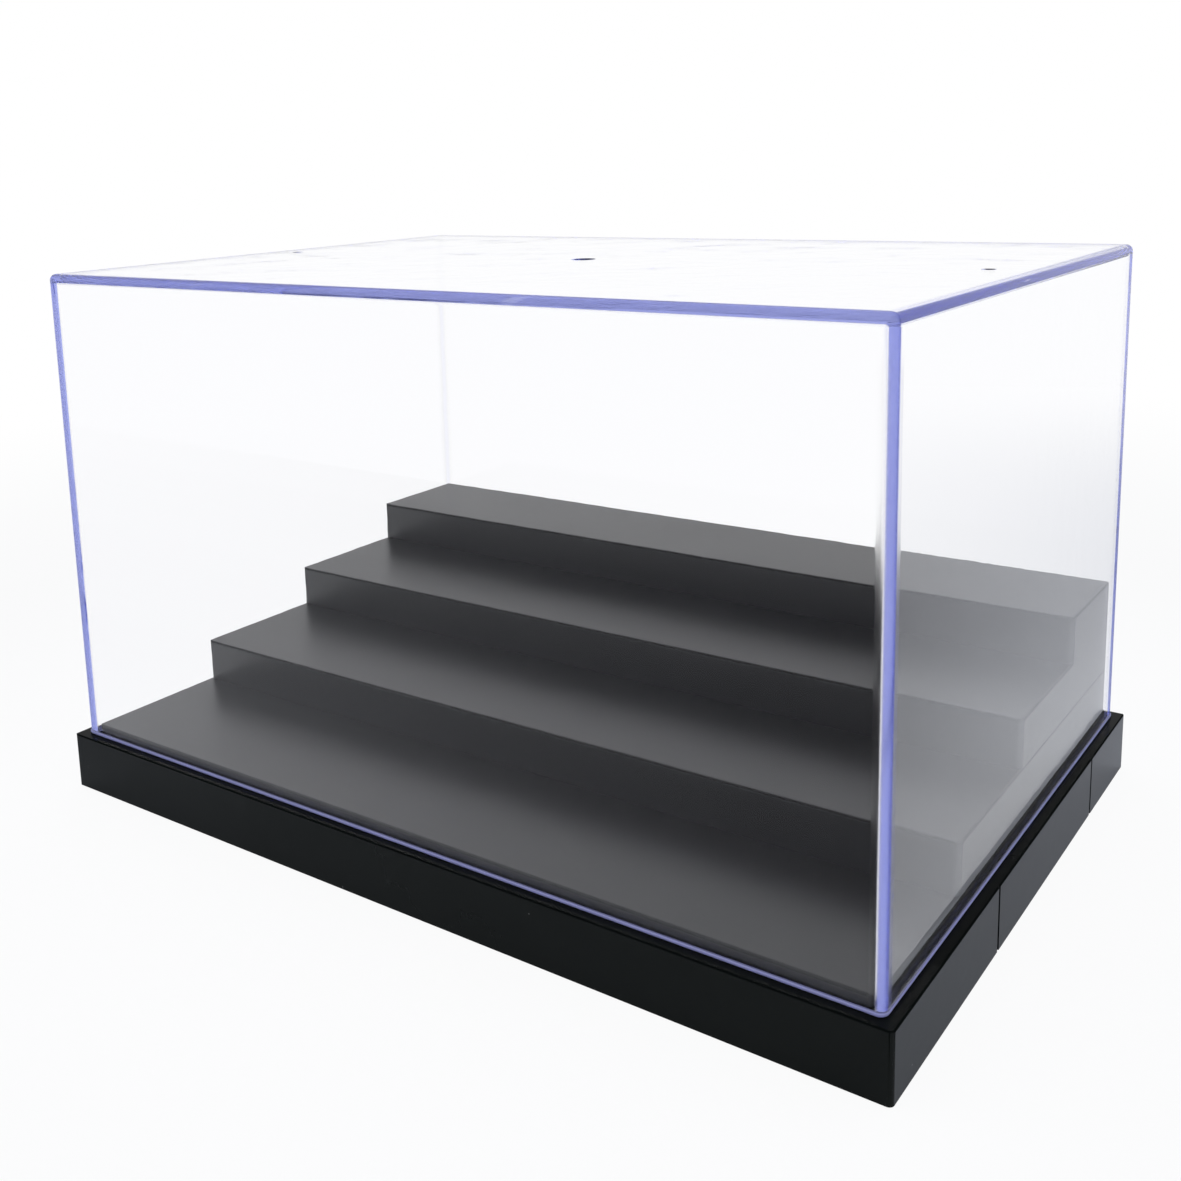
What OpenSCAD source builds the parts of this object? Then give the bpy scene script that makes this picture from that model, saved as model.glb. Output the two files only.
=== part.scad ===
// Four-tier display case. A clear one-piece cover stands on the ledge of a black base.
// The deck on the base is the first tier, and two stacked hollow risers carry the other three.
// X runs along the front, Y from front to back and Z up. The origin is under the middle of the base.

/* [Base] */
// Width of the base along the front
base_w = 255; // [180:1:360]
// Depth of the base from front to back
base_d = 178; // [160:1:260]
// Height of the base from the table to its ledge
base_h = 16.2; // [10:0.1:30]
// Thickness of the skirt around the base
skirt_t = 2.4; // [1.6:0.1:4]
// Thickness of the plate that closes the top of the base
base_top_t = 2.4; // [1.6:0.1:4]
// Rounding of the upright corners of the base
base_corner_r = 1.2; // [0.6:0.1:4]
// Rounding of the outer edge of the ledge
base_edge_r = 0.4; // [0.2:0.1:1]
// Width of the ledge left free outside the cover
ledge_w = 3; // [2:0.1:6]
// Thickness of the cross ribs under the base
rib_t = 1.4; // [1:0.1:2.4]
// Height from the table to the underside of the cross ribs
rib_foot = 4; // [2:0.1:6]
// Distance of the front cross rib from the front of the base
front_rib_in = 63.5; // [40:0.5:75]
// Distance of the back cross rib from the back of the base
back_rib_in = 36; // [20:0.5:60]

/* [Cover] */
// Height of the whole case from the table to the top of the cover
case_h = 153.6; // [110:0.2:240]
// Wall thickness of the cover
cover_t = 2.4; // [1.2:0.1:3]
// Outer rounding of the corners and top edges of the cover
cover_r = 1.8; // [1:0.1:5]
// Inner rounding of the corners and top edges of the cover
cover_inner_r = 0.6; // [0.3:0.1:2]
// Gap between the walls of the cover and the deck inside them
cover_gap = 0.5; // [0.3:0.1:1.5]

/* [Mould marks] */
// Diameter of the round recess in the middle of the cover's top
gate_d = 6.8; // [3:0.1:12]
// Depth of that recess
gate_h = 0.7; // [0.2:0.1:0.9]
// Diameter of the small dimples near the ends of the cover's top
dimple_d = 3.4; // [1:0.1:6]
// Depth of the small dimples
dimple_h = 0.4; // [0.1:0.1:0.8]
// Distance of a dimple from the end of the cover
dimple_in = 12; // [6:0.5:40]

/* [Tiers] */
// Thickness of the deck, which is the first tier
deck_t = 2.8; // [2:0.1:6]
// Height of one step
step_h = 12.9; // [8:0.1:20]
// Depth of the treads of the first three tiers
tread_d = 42.9; // [30:0.1:47]
// Wall thickness of the risers
riser_t = 2; // [1.4:0.1:3]
// Setback of the risers from the edges of the deck
riser_in = 0.3; // [0:0.1:2]
// Rounding of the upright corners of the deck and risers
tier_corner_r = 1.8; // [0.6:0.1:4]
// Rounding of the top edges of the deck and risers
tier_edge_r = 0.8; // [0.2:0.1:1.6]

/* [Pegs] */
// Diameter of the pegs that locate the deck and risers
peg_d = 4; // [3:0.1:6]
// Clearance around a peg in its hole, and at its tip
peg_gap = 0.3; // [0.2:0.05:0.6]
// Diameter of the posts inside the risers
post_d = 7; // [6:0.1:10]
// Distance of the posts from the outer faces of the risers
post_in = 10; // [8:0.5:16]
// Distance of the deck's pegs from the edges of the deck
deck_peg_in = 24; // [20:0.5:30]

/* [Hidden] */
$fn = 64;
// Extra length that takes a cut clear through a face
past = 1;

cover_w = base_w - 2 * ledge_w;
cover_d = base_d - 2 * ledge_w;
cover_h = case_h - base_h;
cover_inner_h = cover_h - cover_t;

deck_w = cover_w - 2 * (cover_t + cover_gap);
deck_d = cover_d - 2 * (cover_t + cover_gap);
deck_front = -deck_d / 2;
deck_top = base_h + deck_t;

riser_w = deck_w - 2 * riser_in;
riser_back = deck_d / 2 - riser_in;
// Front faces of the second, third and fourth tiers
tier_front = [for (i = [1:3]) deck_front + i * tread_d];
lower_top = deck_top + step_h;

// A peg is as long as the thinnest plate that it drops into, less the gap at its tip
peg_l = min(base_top_t, deck_t, riser_t) - peg_gap;
hole_d = peg_d + 2 * peg_gap;
post_x = riser_w / 2 - post_in;
lower_post_y = [tier_front[0] + post_in, riser_back - post_in];
upper_post_y = [tier_front[1] + post_in, riser_back - post_in];
deck_peg_x = deck_w / 2 - deck_peg_in;
deck_peg_y = [-deck_d / 2 + deck_peg_in, deck_d / 2 - deck_peg_in];

base_color = [0.05, 0.06, 0.06];
tier_color = [0.11, 0.11, 0.12];
cover_color = [0.72, 0.75, 0.95, 0.35];

// Rectangle with rounded corners, centred on the origin
module rounded_plan(w, d, r) {
    square([w - 2 * r, d], center = true);
    square([w, d - 2 * r], center = true);
    for (x = [-1, 1], y = [-1, 1])
        translate([x * (w / 2 - r), y * (d / 2 - r)])
            circle(r);
}

// Upright outline that stands on zero, with its two top corners rounded
module arched_profile(w, h, r) {
    translate([-w / 2, 0])
        square([w, h - r]);
    translate([-w / 2 + r, 0])
        square([w - 2 * r, h]);
    for (x = [-1, 1])
        translate([x * (w / 2 - r), h - r])
            circle(r);
}

// Block that stands on zero, with rounded upright corners and rounded top edges
module eased_block(w, d, h, corner_r, edge_r) {
    intersection() {
        linear_extrude(h)
            rounded_plan(w, d, corner_r);
        rotate([90, 0, 0])
            linear_extrude(d + 2 * past, center = true)
                arched_profile(w, h, edge_r);
        rotate([90, 0, 90])
            linear_extrude(w + 2 * past, center = true)
                arched_profile(d, h, edge_r);
    }
}

// Step of a riser, from its front face to the back of the case, standing at height z
module step_block(front, z, h) {
    translate([0, (front + riser_back) / 2, z])
        eased_block(riser_w, riser_back - front, h, tier_corner_r, tier_edge_r);
}

// Hollow inside a step, open at the bottom
module step_hollow(front, z, h) {
    inner_w = riser_w - 2 * riser_t;
    inner_d = riser_back - front - 2 * riser_t;
    translate([-inner_w / 2, front + riser_t, z - past])
        cube([inner_w, inner_d, h - riser_t + past]);
}

// One copy of the children on each side at distance x, at each of the places in ys
module side_places(x, ys, z) {
    for (side = [-1, 1], y = ys)
        translate([side * x, y, z])
            children();
}

// Peg that hangs below zero
module peg() {
    translate([0, 0, -peg_l])
        cylinder(d = peg_d, h = peg_l);
}

// Hole for a peg, cut down from zero through a plate of thickness t
module peg_hole(t) {
    translate([0, 0, -t - past])
        cylinder(d = hole_d, h = t + 2 * past);
}

module base() {
    inner_w = base_w - 2 * skirt_t;
    inner_d = base_d - 2 * skirt_t;
    under_top = base_h - base_top_t;
    rib_y = [-base_d / 2 + front_rib_in, base_d / 2 - back_rib_in];
    color(base_color) {
        difference() {
            eased_block(base_w, base_d, base_h, base_corner_r, base_edge_r);
            translate([-inner_w / 2, -inner_d / 2, -past])
                cube([inner_w, inner_d, under_top + past]);
            side_places(deck_peg_x, deck_peg_y, base_h)
                peg_hole(base_top_t);
        }
        for (y = rib_y)
            translate([-inner_w / 2, y - rib_t / 2, rib_foot])
                cube([inner_w, rib_t, under_top - rib_foot]);
    }
}

module deck() {
    color(tier_color) {
        difference() {
            translate([0, 0, base_h])
                eased_block(deck_w, deck_d, deck_t, tier_corner_r, tier_edge_r);
            side_places(post_x, lower_post_y, deck_top)
                peg_hole(deck_t);
        }
        side_places(deck_peg_x, deck_peg_y, base_h)
            peg();
    }
}

module lower_riser() {
    color(tier_color) {
        difference() {
            union() {
                difference() {
                    step_block(tier_front[0], deck_top, step_h);
                    step_hollow(tier_front[0], deck_top, step_h);
                }
                side_places(post_x, lower_post_y, deck_top)
                    cylinder(d = post_d, h = step_h - riser_t);
            }
            side_places(post_x, upper_post_y, lower_top)
                translate([0, 0, -riser_t])
                    cylinder(d = hole_d, h = riser_t + past);
        }
        side_places(post_x, lower_post_y, deck_top)
            peg();
    }
}

module upper_riser() {
    color(tier_color) {
        difference() {
            union() {
                step_block(tier_front[1], lower_top, step_h);
                step_block(tier_front[2], lower_top, 2 * step_h);
            }
            step_hollow(tier_front[1], lower_top, step_h);
            step_hollow(tier_front[2], lower_top, 2 * step_h);
        }
        side_places(post_x, [upper_post_y[0]], lower_top)
            cylinder(d = post_d, h = step_h - riser_t);
        side_places(post_x, [upper_post_y[1]], lower_top)
            cylinder(d = post_d, h = 2 * step_h - riser_t);
        side_places(post_x, upper_post_y, lower_top)
            peg();
    }
}

module clear_cover() {
    dimple_x = cover_w / 2 - dimple_in;
    color(cover_color)
        translate([0, 0, base_h])
            difference() {
                eased_block(cover_w, cover_d, cover_h, cover_r, cover_r);
                translate([0, 0, -past])
                    eased_block(cover_w - 2 * cover_t, cover_d - 2 * cover_t,
                        cover_inner_h + past, cover_inner_r, cover_inner_r);
                translate([0, 0, cover_h - gate_h])
                    cylinder(d = gate_d, h = gate_h + past);
                for (side = [-1, 1])
                    translate([side * dimple_x, 0, cover_h - dimple_h])
                        cylinder(d = dimple_d, h = dimple_h + past);
            }
}

base();
deck();
lower_riser();
upper_riser();
clear_cover();
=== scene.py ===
import math
import bpy
import bmesh
from mathutils import Matrix, Vector


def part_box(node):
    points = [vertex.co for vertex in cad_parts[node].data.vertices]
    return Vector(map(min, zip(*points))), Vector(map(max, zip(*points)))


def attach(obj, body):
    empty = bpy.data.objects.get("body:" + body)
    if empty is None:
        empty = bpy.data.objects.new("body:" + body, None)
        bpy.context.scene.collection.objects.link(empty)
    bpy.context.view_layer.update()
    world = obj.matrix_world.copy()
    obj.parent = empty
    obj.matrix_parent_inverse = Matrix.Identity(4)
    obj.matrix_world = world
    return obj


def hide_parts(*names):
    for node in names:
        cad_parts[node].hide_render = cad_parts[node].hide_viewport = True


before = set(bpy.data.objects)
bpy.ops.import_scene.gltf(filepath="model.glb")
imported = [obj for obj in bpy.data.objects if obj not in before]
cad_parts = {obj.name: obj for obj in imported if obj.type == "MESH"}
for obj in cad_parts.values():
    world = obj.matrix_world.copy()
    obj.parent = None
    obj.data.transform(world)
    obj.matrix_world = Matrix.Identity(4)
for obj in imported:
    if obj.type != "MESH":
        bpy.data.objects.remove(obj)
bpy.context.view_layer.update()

scene = bpy.context.scene
mm = 0.001
white = (1, 1, 1, 1)
quarter = math.pi / 2
print("frame loaded:", ", ".join(sorted(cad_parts)))


# Node helpers
class Wire:
    # a node socket that takes part in sums
    def __init__(self, tree, socket=None):
        self.tree = tree
        self.socket = socket

    def node(self, kind, settings=None, inputs=None, out=0):
        made = self.tree.nodes.new(kind)
        for key, value in (settings or {}).items():
            setattr(made, key, value)
        for key, value in (inputs or {}).items():
            if isinstance(value, Wire):
                self.tree.links.new(value.socket, made.inputs[key])
            else:
                made.inputs[key].default_value = value
        return Wire(self.tree, made.outputs[out])

    def other(self, out):
        # another output of the same node
        return Wire(self.tree, self.socket.node.outputs[out])

    def maths(self, operation, *others):
        values = dict(enumerate((self, *others)))
        return self.node("ShaderNodeMath", {"operation": operation}, values)

    def swapped(self, operation, other):
        return self.node("ShaderNodeMath", {"operation": operation}, {0: other, 1: self})

    def __add__(self, other):
        return self.maths("ADD", other)

    def __radd__(self, other):
        return self.swapped("ADD", other)

    def __sub__(self, other):
        return self.maths("SUBTRACT", other)

    def __rsub__(self, other):
        return self.swapped("SUBTRACT", other)

    def __mul__(self, other):
        return self.maths("MULTIPLY", other)

    def __rmul__(self, other):
        return self.swapped("MULTIPLY", other)

    def __truediv__(self, other):
        return self.maths("DIVIDE", other)

    def __rtruediv__(self, other):
        return self.swapped("DIVIDE", other)

    def __abs__(self):
        return self.maths("ABSOLUTE")

    def ramp(self, low, high):
        # 0 below low, 1 above high, smooth between
        return self.node("ShaderNodeMapRange", {"interpolation_type": "SMOOTHSTEP"},
                         {"Value": self, "From Min": low, "From Max": high})

    def tint(self, first, second):
        # first colour where this is 0, second where it is 1
        return self.node("ShaderNodeMix", {"data_type": "RGBA"},
                         {0: self, 6: first, 7: second}, out=2)

    def parts(self):
        # the three numbers of a vector
        x = self.node("ShaderNodeSeparateXYZ", inputs={0: self})
        return x, x.other("Y"), x.other("Z")


def newMaterial(name):
    made = bpy.data.materials.new(name)
    made.use_nodes = True
    made.node_tree.nodes.clear()
    start = Wire(made.node_tree)
    return made, start, start.node("ShaderNodeTexCoord", out="Object")


def noise(place, scale, detail=2.0):
    return place.node("ShaderNodeTexNoise", inputs={
        "Vector": place, "Scale": scale, "Detail": detail})


def fineBump(place, look):
    return place.node("ShaderNodeBump", inputs={
        "Height": noise(place, look["bumpScale"]), "Strength": look["bumpStrength"],
        "Distance": look["bumpDeep"]})


def principled(start, inputs):
    return start.node("ShaderNodeBsdfPrincipled", inputs=inputs)


def mixed(start, share, first, second):
    return start.node("ShaderNodeMixShader", inputs={0: share, 1: first, 2: second})


def finishMaterial(start, surface, volume=None):
    out = start.tree.nodes.new("ShaderNodeOutputMaterial")
    start.tree.links.new(surface.socket, out.inputs["Surface"])
    if volume:
        start.tree.links.new(volume.socket, out.inputs["Volume"])


# Camera: angles in degrees, focus and axis in pixels of a picture with that side
camera = dict(place=(0.213954, -0.315568, 0.182757), turn=36.559, tilt=10.402, roll=-1.748,
              focus=1364.96, axis=(530.0, 405.0), side=1181.0, sensor=36.0, nearest=0.01)


def placeCamera(look):
    turn, tilt, roll = (math.radians(look[key]) for key in ("turn", "tilt", "roll"))
    level = math.cos(tilt)
    back = Vector((math.sin(turn) * level, -math.cos(turn) * level, math.sin(tilt)))
    right = Vector((math.cos(turn), math.sin(turn), 0))
    up = back.cross(right)
    rightTurned = right * math.cos(roll) + up * math.sin(roll)
    upTurned = up * math.cos(roll) - right * math.sin(roll)
    data = bpy.data.cameras.new("camera")
    data.sensor_width = look["sensor"]
    data.lens = look["focus"] / look["side"] * look["sensor"]
    data.shift_x = 0.5 - look["axis"][0] / look["side"]
    data.shift_y = look["axis"][1] / look["side"] - 0.5
    data.clip_start = look["nearest"]
    made = bpy.data.objects.new("camera", data)
    made.matrix_world = Matrix((rightTurned, upTurned, back)).transposed().to_4x4()
    made.location = look["place"]
    scene.collection.objects.link(made)
    scene.camera = made


placeCamera(camera)
print("camera placed")


# Stage: the bands are distances from the middle of the floor, in metres
stage = dict(size=6.0, below=0.3 * mm, nearWhite=0.92, seenBand=(0.3, 0.75),
             mirrorBand=(0.34, 0.8), paperNearLit=(0.83, 0.87, 0.97, 1),
             paperFarShade=(0.42, 0.45, 0.53, 1), paperBand=(0.12, 0.32), bounces=400)


def makeStage(look):
    # light runs a long way inside the cover's walls before it leaves at an edge
    scene.cycles.max_bounces = look["bounces"]
    scene.cycles.transmission_bounces = look["bounces"]
    scene.cycles.glossy_bounces = look["bounces"]

    world = bpy.data.worlds.new("studio")
    world.use_nodes = True
    background = world.node_tree.nodes["Background"]
    background.inputs["Color"].default_value = white
    background.inputs["Strength"].default_value = 1.0
    scene.world = world

    half, z = look["size"] / 2, -look["below"]
    mesh = bpy.data.meshes.new("floor")
    mesh.from_pydata([(-half, -half, z), (half, -half, z), (half, half, z), (-half, half, z)],
                     [], [(0, 1, 2, 3)])
    floor = bpy.data.objects.new("floor", mesh)
    scene.collection.objects.link(floor)

    mat, start, place = newMaterial("floor_white")
    x, y = place.parts()[:2]
    reach = (x * x + y * y).maths("SQRT")
    isCamera = start.node("ShaderNodeLightPath", out="Is Camera Ray")
    # the floor is white when it is far off or seen through the cover
    # near the case it keeps a faint shadow; in reflections it shows its paper, painted pale
    # near the case and darker further off as painted shade
    whiteness = look["nearWhite"] + (1 - look["nearWhite"]) * reach.ramp(*look["seenBand"])
    seen = (isCamera * whiteness).maths("MAXIMUM", isCamera.other("Is Transmission Ray"))
    mirrored = isCamera.other("Is Glossy Ray") * reach.ramp(*look["mirrorBand"])
    # painted light: the paper is painted pale near the case and darker further off
    paper = reach.ramp(*look["paperBand"]).tint(look["paperNearLit"], look["paperFarShade"])
    lit = principled(start, {"Base Color": paper, "Roughness": 1.0, "Specular IOR Level": 0.0})
    bright = start.node("ShaderNodeEmission", inputs={"Color": white, "Strength": 1.0})
    finishMaterial(start, mixed(start, seen.maths("MAXIMUM", mirrored), lit, bright))
    mesh.materials.append(mat)


makeStage(stage)
print("stage made")


# Tree helpers
def vector(start, x=0.0, y=0.0, z=0.0):
    return start.node("ShaderNodeCombineXYZ", inputs={0: x, 1: y, 2: z})


def moved(start, geometry, y=0.0, z=0.0):
    return start.node("GeometryNodeTransform", inputs={
        "Geometry": geometry, "Translation": vector(start, 0.0, y, z)})


def joined(start, *pieces):
    made = start.tree.nodes.new("GeometryNodeJoinGeometry")
    for piece in pieces:
        start.tree.links.new(piece.socket, made.inputs[0])
    return Wire(start.tree, made.outputs[0])


def welded(start, geometry, gap):
    return start.node("GeometryNodeMergeByDistance", inputs={
        "Geometry": geometry, "Distance": gap})


def fourCorners(start, width, depth):
    return start.node("GeometryNodeMeshGrid", inputs={
        "Size X": width, "Size Y": depth, "Vertices X": 2, "Vertices Y": 2})


def copies(start, points, shape):
    # the shape on each of the points
    spread = start.node("GeometryNodeInstanceOnPoints", inputs={
        "Points": points, "Instance": shape})
    return start.node("GeometryNodeRealizeInstances", inputs={0: spread})


def dressed(start, geometry, material):
    return start.node("GeometryNodeSetMaterial", inputs={
        "Geometry": geometry, "Material": material})


def openTree(name, kinds):
    # a new tree with named inputs, and one wire for each of them
    tree = bpy.data.node_groups.new(name, "GeometryNodeTree")
    for label, kind in kinds.items():
        tree.interface.new_socket(label, in_out="INPUT", socket_type="NodeSocket" + kind)
    tree.interface.new_socket("Geometry", in_out="OUTPUT", socket_type="NodeSocketGeometry")
    group = tree.nodes.new("NodeGroupInput")
    return Wire(tree), {label: Wire(tree, group.outputs[label]) for label in kinds}


def closeTree(start, geometry):
    done = start.node("GeometryNodeRealizeInstances", inputs={0: geometry})
    start.tree.links.new(done.socket, start.tree.nodes.new("NodeGroupOutput").inputs[0])
    return start.tree


def frozen(made):
    # the object's mesh with its modifiers applied
    view = bpy.context.evaluated_depsgraph_get()
    return bpy.data.meshes.new_from_object(made.evaluated_get(view))


def grow(name, tree, values, mesh=None):
    # runs a tree and keeps the result as a plain mesh object
    seed = bpy.data.objects.new(name + "_seed", mesh or bpy.data.meshes.new(name + "_seed"))
    scene.collection.objects.link(seed)
    modifier = seed.modifiers.new("tree", "NODES")
    modifier.node_group = tree
    for item in tree.interface.items_tree:
        if item.in_out == "INPUT" and item.name in values:
            modifier[item.identifier] = values[item.name]
    grown = frozen(seed)
    bpy.data.objects.remove(seed)
    grown.name = name
    made = bpy.data.objects.new(name, grown)
    scene.collection.objects.link(made)
    return made


# Clear cover: its sizes, the clear walls, their edges, and the lip round its foot
cover = dict(
    wall=2.4 * mm, outerRound=1.8 * mm, innerRound=0.6 * mm, rimGap=0.1 * mm,
    gateDia=6.8 * mm, gateDeep=0.7 * mm,
    dimpleDia=3.4 * mm, dimpleDeep=0.4 * mm, dimpleIn=12 * mm,
    ior=1.49, pane=(1.0, 1.0, 1.0, 1), mirror=(0.1, 0.1, 0.12, 1),
    absorb=(0.2, 0.286, 0.871, 1), density=5.8,
    bumpScale=60.0, bumpStrength=0.05, bumpDeep=0.4 * mm,
    edge=(0.92, 0.925, 1.0, 1), edgeWalls=(0.7, 1.2), stripWalls=(1.3, 1.6),  # in walls
    topRough=0.1, cornerRough=0.24, cornerBand=(3 * mm, 12 * mm),  # below the top
    paintedGlow=(0.33, 0.36, 0.90, 1), glowShare=0.16, glowRough=0.5,
    lipOut=0.32 * mm, lipHigh=1.1 * mm, lipGap=0.02 * mm,
    lip=(0.50, 0.52, 0.92, 1), lipDull=(0.41, 0.43, 0.82, 1), lipCloud=150.0, lipDetail=3.0,
    lipCrestShade=(0.16, 0.17, 0.36, 1), lipCrestBand=(0.85 * mm, 1.0 * mm),
    lipRough=0.35, lipRoughMore=0.2, lipClear=0.4)
coverLow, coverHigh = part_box("clear_cover")
cover.update(halfWidth=coverHigh.x, halfDepth=coverHigh.y, top=coverHigh.z,
             foot=coverLow.z + cover["rimGap"], dimplePlace=coverHigh.x - cover["dimpleIn"])

# lengths that the cover's tree takes in, each with its name above
coverLengths = {
    "Half Width": "halfWidth", "Half Depth": "halfDepth", "Foot": "foot", "Top": "top",
    "Wall": "wall", "Outer Round": "outerRound", "Inner Round": "innerRound",
    "Lip Out": "lipOut", "Lip Height": "lipHigh", "Lip Gap": "lipGap",
    "Gate Diameter": "gateDia", "Gate Depth": "gateDeep", "Dimple Diameter": "dimpleDia",
    "Dimple Depth": "dimpleDeep", "Dimple Place": "dimplePlace"}

arcPoints = 11  # points on each corner arc
riseSteps = 10  # steps up the rounding of the top edges
lipSteps = 16  # steps round the section of the lip
discSides = 64  # sides of a round recess
guard = 0.0001  # keeps a whole number from being rounded down to the one below
shellWeld = 0.02 * mm
lipWeld = 0.005 * mm
flatArea = 0.0002  # in square metres, faces larger than this are shaded flat
creaseAngle = 0.6  # in radians, edges sharper than this stay sharp


def clearAcrylic(look):
    mat, start, place = newMaterial("clear_acrylic")
    x, y, z = place.parts()
    fromSide = look["halfWidth"] - abs(x)
    fromFront = look["halfDepth"] - abs(y)
    fromTop = look["top"] - z
    # the middle one of the three distances is small only near an edge
    least = fromSide.maths("MINIMUM", fromFront)
    most = fromSide.maths("MAXIMUM", fromFront)
    middle = least.maths("MAXIMUM", most.maths("MINIMUM", fromTop))

    def nearEdge(walls):
        return 1 - middle.ramp(*(look["wall"] * share for share in walls))

    # the moulded upright edges are duller than the top ones, and over a wider strip
    edge, strip = nearEdge(look["edgeWalls"]), nearEdge(look["stripWalls"])
    upright = fromTop.ramp(*look["cornerBand"])
    rough = edge * look["topRough"] * (1 - upright) + strip * look["cornerRough"] * upright
    # the faint violet in the clear colour near the edges is painted light, for light carried
    # along the walls to the edges
    glass = principled(start, {
        "Base Color": edge.tint(look["pane"], look["edge"]), "Roughness": rough,
        "IOR": look["ior"], "Transmission Weight": 1.0, "Specular Tint": look["mirror"],
        "Normal": fineBump(place, look)})
    # painted light: a share of opaque violet along the top edges stands in for the light that
    # leaves the walls there
    paintedGlow = principled(start, {"Base Color": look["paintedGlow"], "Roughness": look["glowRough"]})
    inside = start.node("ShaderNodeVolumeAbsorption", inputs={
        "Color": look["absorb"], "Density": look["density"]})
    paintedGlowing = edge * (1 - upright) * look["glowShare"]
    finishMaterial(start, mixed(start, paintedGlowing, glass, paintedGlow), inside)
    return mat


def paintedGlowLip(look):
    # violet, painted light in place of the light that leaves the wall at its foot, with a
    # crest painted darker as painted shade
    mat, start, place = newMaterial("painted_glow_lip")
    z = place.parts()[2]
    cloud = noise(place, look["lipCloud"], look["lipDetail"])
    crestShade = (z - look["foot"]).ramp(*look["lipCrestBand"])
    violet = cloud.tint(look["lipDull"], look["lip"])
    finishMaterial(start, principled(start, {
        "Base Color": crestShade.tint(violet, look["lipCrestShade"]),
        "Roughness": look["lipRough"] + cloud * look["lipRoughMore"],
        "Transmission Weight": look["lipClear"]}))
    return mat


def skinGrid(start, rows, rule):
    # a strip of points round a rounded rectangle, whose ends are welded later
    grid = start.node("GeometryNodeMeshGrid", inputs={
        "Vertices X": 4 * arcPoints + 1, "Vertices Y": rows})
    index = start.node("GeometryNodeInputIndex")
    step = (index / rows + guard).maths("FLOOR")
    row = index - step * rows
    corner = (step / arcPoints + guard).maths("FLOOR")
    turn = corner * quarter + (step - corner * arcPoints) * (quarter / (arcPoints - 1))
    middle = corner * quarter + quarter / 2
    sideX, sideY = middle.maths("COSINE").maths("SIGN"), middle.maths("SINE").maths("SIGN")
    halfWidth, halfDepth, rounding, shrink, z = rule(row)
    x = sideX * (halfWidth - rounding) + rounding * shrink * turn.maths("COSINE")
    y = sideY * (halfDepth - rounding) + rounding * shrink * turn.maths("SINE")
    return start.node("GeometryNodeSetPosition", inputs={
        "Geometry": grid, "Position": vector(start, x, y, z)})


def roundedSkin(start, halfWidth, halfDepth, foot, top, rounding):
    # four walls with rounded corners, a rounded top edge and a flat top
    def rule(row):
        rise = (row - 1).maths("MAXIMUM", 0.0) * (quarter / riseSteps)
        high = top - rounding + rounding * rise.maths("SINE") - foot
        z = foot + high * row.maths("MINIMUM", 1.0)
        return halfWidth, halfDepth, rounding, rise.maths("COSINE"), z

    walls = skinGrid(start, riseSteps + 2, rule)
    cap = fourCorners(start, (halfWidth - rounding) * 2, (halfDepth - rounding) * 2)
    return joined(start, walls, moved(start, cap, z=top))


def coverTree():
    start, size = openTree("coverShell", {
        **dict.fromkeys(coverLengths, "Float"), "Material": "Material",
        "Lip Material": "Material"})
    halfWidth, halfDepth, wall = size["Half Width"], size["Half Depth"], size["Wall"]
    foot, top = size["Foot"], size["Top"]
    rounding, innerRounding = size["Outer Round"], size["Inner Round"]
    innerWidth, innerDepth = halfWidth - wall, halfDepth - wall
    outer = roundedSkin(start, halfWidth, halfDepth, foot, top, rounding)
    inner = roundedSkin(start, innerWidth, innerDepth, foot, top - wall, innerRounding)

    def rimRule(row):
        def blend(first, second):
            return first + (second - first) * row
        return (blend(innerWidth, halfWidth), blend(innerDepth, halfDepth),
                blend(innerRounding, rounding), 1.0, foot)

    rim = skinGrid(start, 2, rimRule)
    turned = start.node("GeometryNodeFlipFaces", inputs={0: inner})
    shell = welded(start, joined(start, outer, turned, rim), shellWeld)

    # round recesses in the outer top: a dimple near each end and the gate mark in the middle
    def recess(diameter, deep, places):
        disc = start.node("GeometryNodeMeshCylinder", inputs={
            "Vertices": discSides, "Radius": diameter / 2, "Depth": deep * 2})
        return copies(start, places, moved(start, disc, z=top))

    ends = start.node("GeometryNodeMeshLine", {"mode": "END_POINTS"}, {
        "Count": 2, "Start Location": vector(start, 0 - size["Dimple Place"]),
        "Offset": vector(start, size["Dimple Place"])})
    centre = start.node("GeometryNodeMeshLine", inputs={"Count": 1})
    marks = joined(start, recess(size["Dimple Diameter"], size["Dimple Depth"], ends),
                   recess(size["Gate Diameter"], size["Gate Depth"], centre))
    marked = start.node("GeometryNodeMeshBoolean", {"operation": "DIFFERENCE"},
                        {0: shell, 1: marks})

    area = start.node("GeometryNodeInputMeshFaceArea")
    soft = start.node("GeometryNodeSetShadeSmooth", {"domain": "FACE"}, {
        "Geometry": marked, "Shade Smooth": area.maths("LESS_THAN", flatArea)})
    angle = start.node("GeometryNodeInputMeshEdgeAngle")
    creased = start.node("GeometryNodeSetShadeSmooth", {"domain": "EDGE"}, {
        "Geometry": soft, "Selection": angle.maths("GREATER_THAN", creaseAngle),
        "Shade Smooth": False})
    clear = dressed(start, creased, size["Material"])

    # a low lip round the foot, a hair outside the polished wall, painted violet in place of
    # the light that leaves the wall's foot
    def lipRule(row):
        turn = row * (4 * quarter / lipSteps)
        out = size["Lip Gap"] + size["Lip Out"] * turn.maths("SINE").maths("MAXIMUM", 0.0)
        return (halfWidth + out, halfDepth + out, rounding + out, 1.0,
                foot + size["Lip Height"] / 2 * (1 - turn.maths("COSINE")))

    lip = welded(start, skinGrid(start, lipSteps + 1, lipRule), lipWeld)
    return closeTree(start, joined(start, clear, dressed(start, lip, size["Lip Material"])))


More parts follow.
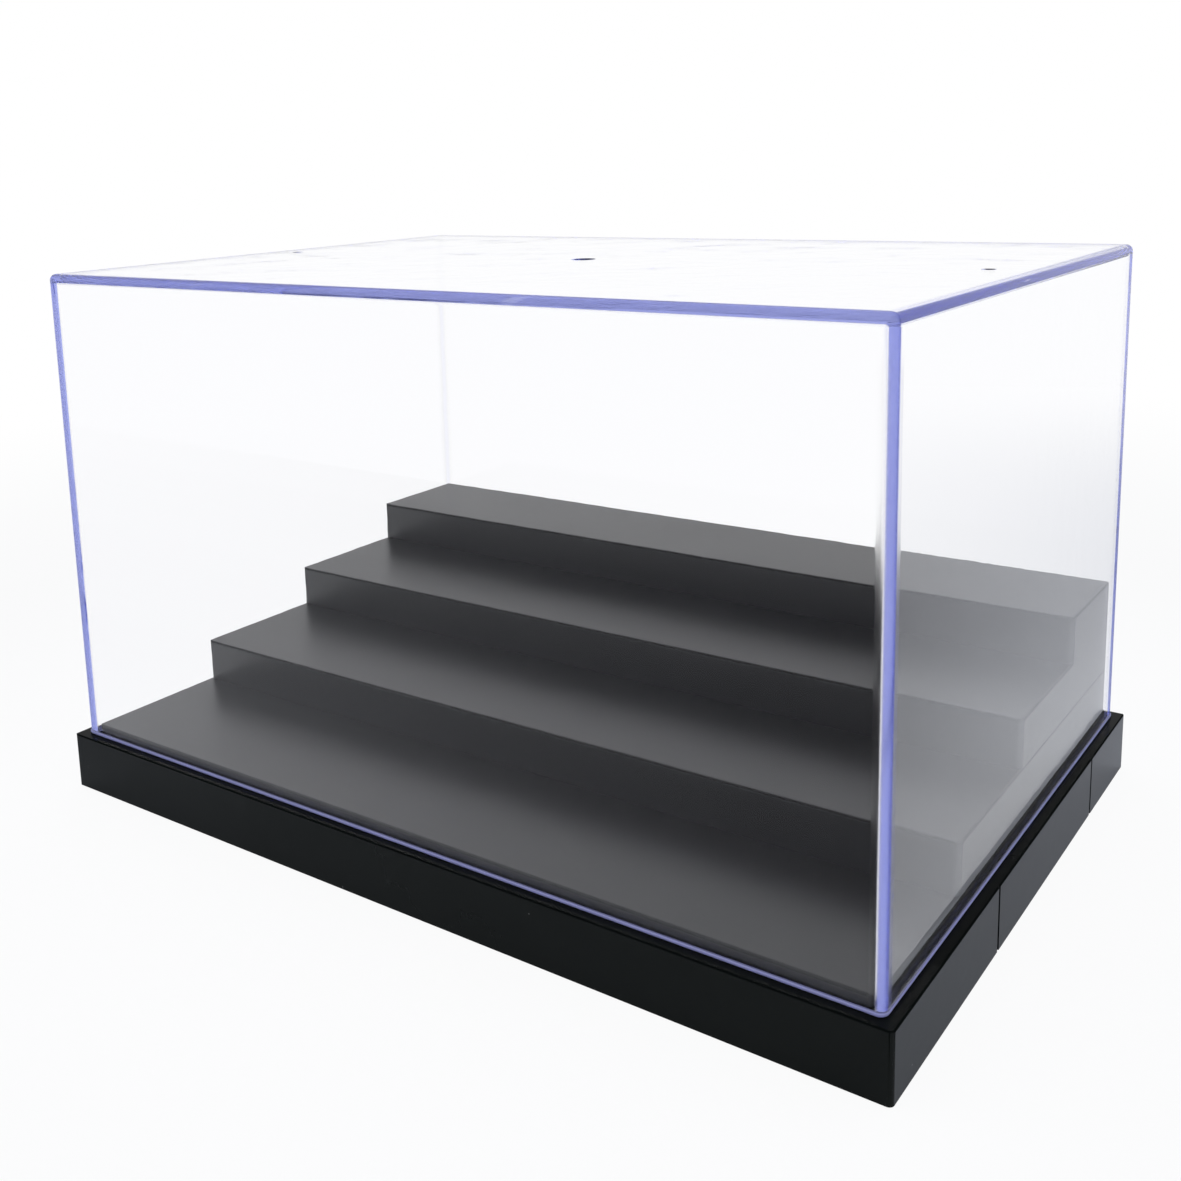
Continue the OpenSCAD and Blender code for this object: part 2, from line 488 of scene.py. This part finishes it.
def makeCover(look):
    values = {label: look[key] for label, key in coverLengths.items()}
    values.update({"Material": clearAcrylic(look), "Lip Material": paintedGlowLip(look)})
    made = grow("cover_shell", coverTree(), values)
    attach(made, "cover")
    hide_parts("clear_cover")
    return made


coverPiece = makeCover(cover)
print("cover made:", len(coverPiece.data.polygons), "faces")


# Shared by the base and the tiers
weldGap = 0.002 * mm
sharpAngle = math.radians(40)  # edges sharper than this stay sharp
speckBand = (0.02, 0.05)  # size and soft edge of a speck of dust, as shares of its cell


def mergedMesh(node):
    # the CAD mesh with its split points merged
    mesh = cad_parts[node].data.copy()
    mesh.materials.clear()
    work = bmesh.new()
    work.from_mesh(mesh)
    bmesh.ops.remove_doubles(work, verts=work.verts, dist=weldGap)
    for face in work.faces:
        face.material_index = 0
    work.to_mesh(mesh)
    work.free()
    return mesh


def softened(made, node, body):
    # rounded edges shade smoothly, flat faces stay flat and corners stay sharp
    work = bmesh.new()
    work.from_mesh(made.data)
    for face in work.faces:
        face.smooth = True
    for line in work.edges:
        line.smooth = len(line.link_faces) == 2 and line.calc_face_angle() < sharpAngle
    work.to_mesh(made.data)
    work.free()
    weigh = made.modifiers.new("weigh", "WEIGHTED_NORMAL")
    weigh.keep_sharp = True
    mesh = frozen(made)
    made.modifiers.clear()
    made.data = mesh
    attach(made, body)
    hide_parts(node)
    return made


def dust(place, look):
    # sparse tiny specks
    cell = place.node("ShaderNodeTexVoronoi", inputs={
        "Vector": place, "Scale": look["dustScale"]})
    pick = place.node("ShaderNodeSeparateColor", inputs={0: cell.other("Color")})
    return (1 - cell.ramp(*speckBand)) * pick.maths("LESS_THAN", look["dustShare"])


def cloudyBlack(place, look):
    # a faint cloud, and the two blacks that follow it, with dust on them
    cloud = noise(place, look["cloudScale"], look["cloudDetail"])
    black = cloud.tint(look["colour"], look["pale"])
    return cloud, dust(place, look).tint(black, look["speck"])


def slopeBand(start, begin, end):
    # 1 on the part of a rounding between two slopes, where 0 is upright and 1 faces up
    slope = start.node("ShaderNodeNewGeometry", out="Normal").parts()[2]
    return slope.ramp(*begin) * (1 - slope.ramp(*end))


# Base: its sides, the ledge, the rounded rim of the ledge, and the grooves in its sides
plinth = dict(
    colour=(0.003, 0.004, 0.004, 1), pale=(0.006, 0.007, 0.007, 1),
    speck=(0.12, 0.12, 0.12, 1), dustScale=220.0, dustShare=0.1,
    cloudScale=40.0, cloudDetail=4.0, bumpScale=300.0, bumpStrength=0.04, bumpDeep=0.3 * mm,
    rough=0.08, roughMore=0.06, shine=0.10, sheen=(0.97, 1.0, 0.86, 1),
    ledgeBand=(-0.4 * mm, -0.25 * mm), ledgeRough=0.02, ledgeRoughMore=0.02, ledgeShine=0.022,
    rimStart=(0.2, 0.5), rimEnd=(0.995, 0.9995), rimRough=0.6, rimRoughMore=0.2,
    seams=(-25.5 * mm, 53 * mm), seamWide=1.1 * mm, seamDeep=0.3 * mm,
    seamCloud=200.0, seamDetail=3.0, seamRough=0.75, seamRoughMore=0.2, seamShine=0.1)

bladeRise = 1.1  # height of a groove's cutter, as a share of the base's height
# a groove's own faces lie within these shares of its width and depth
seamReach = 0.6  # to each side of its middle
seamFloor = 1.2  # inwards at most
seamMouth = 0.2  # inwards at least, so that the outer face is left out


def glossBlack(look):
    mat, start, place = newMaterial("gloss_black")
    z = place.parts()[2]
    cloud, colour = cloudyBlack(place, look)
    sides = principled(start, {
        "Base Color": colour, "Roughness": look["rough"] + cloud * look["roughMore"],
        "Specular IOR Level": look["shine"], "Specular Tint": look["sheen"],
        "Normal": fineBump(place, look)})
    # the ledge is smoother and mirrors little more than the foot of the cover
    ledge = principled(start, {
        "Base Color": colour,
        "Roughness": look["ledgeRough"] + cloud * look["ledgeRoughMore"],
        "Specular IOR Level": look["ledgeShine"]})
    onLedge = (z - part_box("base")[1].z).ramp(*look["ledgeBand"])
    # the rounded rim of the ledge stays dark
    rim = principled(start, {
        "Base Color": look["colour"],
        "Roughness": look["rimRough"] + cloud * look["rimRoughMore"],
        "Specular IOR Level": 0.0})
    onRim = slopeBand(start, look["rimStart"], look["rimEnd"])
    finishMaterial(start, mixed(start, onRim, mixed(start, onLedge, sides, ledge), rim))
    return mat


def dullSeam(look):
    mat, start, place = newMaterial("dull_seam")
    cloud = noise(place, look["seamCloud"], look["seamDetail"])
    finishMaterial(start, principled(start, {
        "Base Color": cloud.tint(look["colour"], look["pale"]),
        "Roughness": look["seamRough"] + cloud * look["seamRoughMore"],
        "Specular IOR Level": look["seamShine"]}))
    return mat


def seamTree():
    # fine upright grooves in both sides of the base
    lengths = ["Half Width", "Height", "Front Place", "Back Place", "Seam Width", "Seam Depth"]
    start, size = openTree("seamCut", {
        "Geometry": "Geometry", **dict.fromkeys(lengths, "Float"),
        "Material": "Material", "Seam Material": "Material"})
    halfWidth, height = size["Half Width"], size["Height"]
    front, back = size["Front Place"], size["Back Place"]
    wide, deep = size["Seam Width"], size["Seam Depth"]
    places = moved(start, fourCorners(start, halfWidth * 2, back - front),
                   (back + front) / 2, height / 2)
    blade = start.node("GeometryNodeMeshCube", inputs={
        "Size": vector(start, deep * 2, wide, height * bladeRise)})
    cut = start.node("GeometryNodeMeshBoolean", {"operation": "DIFFERENCE", "solver": "EXACT"},
                     {0: size["Geometry"], 1: copies(start, places, blade)})
    plain = dressed(start, cut, size["Material"])

    # the faces inside the grooves are dull
    x, y = start.node("GeometryNodeInputPosition").parts()[:2]
    off = abs(y - front).maths("MINIMUM", abs(y - back))
    inward = halfWidth - abs(x)
    inside = (off.maths("LESS_THAN", wide * seamReach)
              * inward.maths("LESS_THAN", deep * seamFloor)
              * inward.maths("GREATER_THAN", deep * seamMouth))
    return closeTree(start, start.node("GeometryNodeSetMaterial", inputs={
        "Geometry": plain, "Selection": inside, "Material": size["Seam Material"]}))


def makeBase(look):
    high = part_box("base")[1]
    made = grow("base_plinth", seamTree(), {
        "Half Width": high.x, "Height": high.z,
        "Front Place": look["seams"][0], "Back Place": look["seams"][1],
        "Seam Width": look["seamWide"], "Seam Depth": look["seamDeep"],
        "Material": glossBlack(look), "Seam Material": dullSeam(look)}, mergedMesh("base"))
    return softened(made, "base", "base")


basePiece = makeBase(plinth)
print("base made:", len(basePiece.data.polygons), "faces")


# Tiers: their satin black, the front of the deck, and the rounded edges
tiers = dict(
    colour=(0.010, 0.0095, 0.0095, 1), pale=(0.016, 0.0155, 0.0155, 1),
    speck=(0.18, 0.18, 0.17, 1), dustScale=250.0, dustShare=0.12,
    cloudScale=25.0, cloudDetail=4.0, bumpScale=1200.0, bumpStrength=0.003, bumpDeep=0.1 * mm,
    rough=0.33, roughMore=0.06, shine=0.70, sheen=(0.94, 0.96, 1.0, 1),
    front=(0.08, 0.082, 0.084, 1), frontBand=(0.2 * mm, 0.6 * mm),
    frontTop=(-0.4 * mm, -0.1 * mm),
    edgeStart=(0.1, 0.4), edgeEnd=(0.75, 0.95), edgeShare=0.8,
    edgeRough=0.7, edgeRoughMore=0.2, edgeShine=0.1,
    deckEdgeLight=(0.055, 0.056, 0.058, 1), deckBand=(0.2 * mm, 0.8 * mm))


def satinBlack(look):
    mat, start, place = newMaterial("satin_black")
    y, z = place.parts()[1:]
    deckLow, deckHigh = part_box("deck")
    cloud, colour = cloudyBlack(place, look)
    # the front of the deck is painted lighter, a painted reflection of light from the floor
    front = ((1 - (y - deckLow.y).ramp(*look["frontBand"]))
             * (1 - (z - deckHigh.z).ramp(*look["frontTop"])))
    faces = principled(start, {
        "Base Color": front.tint(colour, look["front"]),
        "Roughness": look["rough"] + cloud * look["roughMore"],
        "Specular IOR Level": look["shine"], "Specular Tint": look["sheen"],
        "Normal": fineBump(place, look)})
    # the rounded edges stay dark, and the deck's edge is painted lighter like its front, a
    # painted reflection
    aboveDeck = (z - deckHigh.z).ramp(*look["deckBand"])
    edges = principled(start, {
        "Base Color": aboveDeck.tint(look["deckEdgeLight"], look["colour"]),
        "Roughness": look["edgeRough"] + cloud * look["edgeRoughMore"],
        "Specular IOR Level": look["edgeShine"]})
    onEdge = slopeBand(start, look["edgeStart"], look["edgeEnd"]) * look["edgeShare"]
    finishMaterial(start, mixed(start, onEdge, faces, edges))
    return mat


def makeTiers(look):
    mat = satinBlack(look)
    for node, name, body in (("deck", "deck_tread", "base"),
                             ("lower_riser", "lower_step", "lower_riser"),
                             ("upper_riser", "upper_steps", "upper_riser")):
        made = bpy.data.objects.new(name, mergedMesh(node))
        made.data.materials.append(mat)
        scene.collection.objects.link(made)
        softened(made, node, body)


makeTiers(tiers)
print("tiers made")

scene.view_settings.view_transform = "Standard"
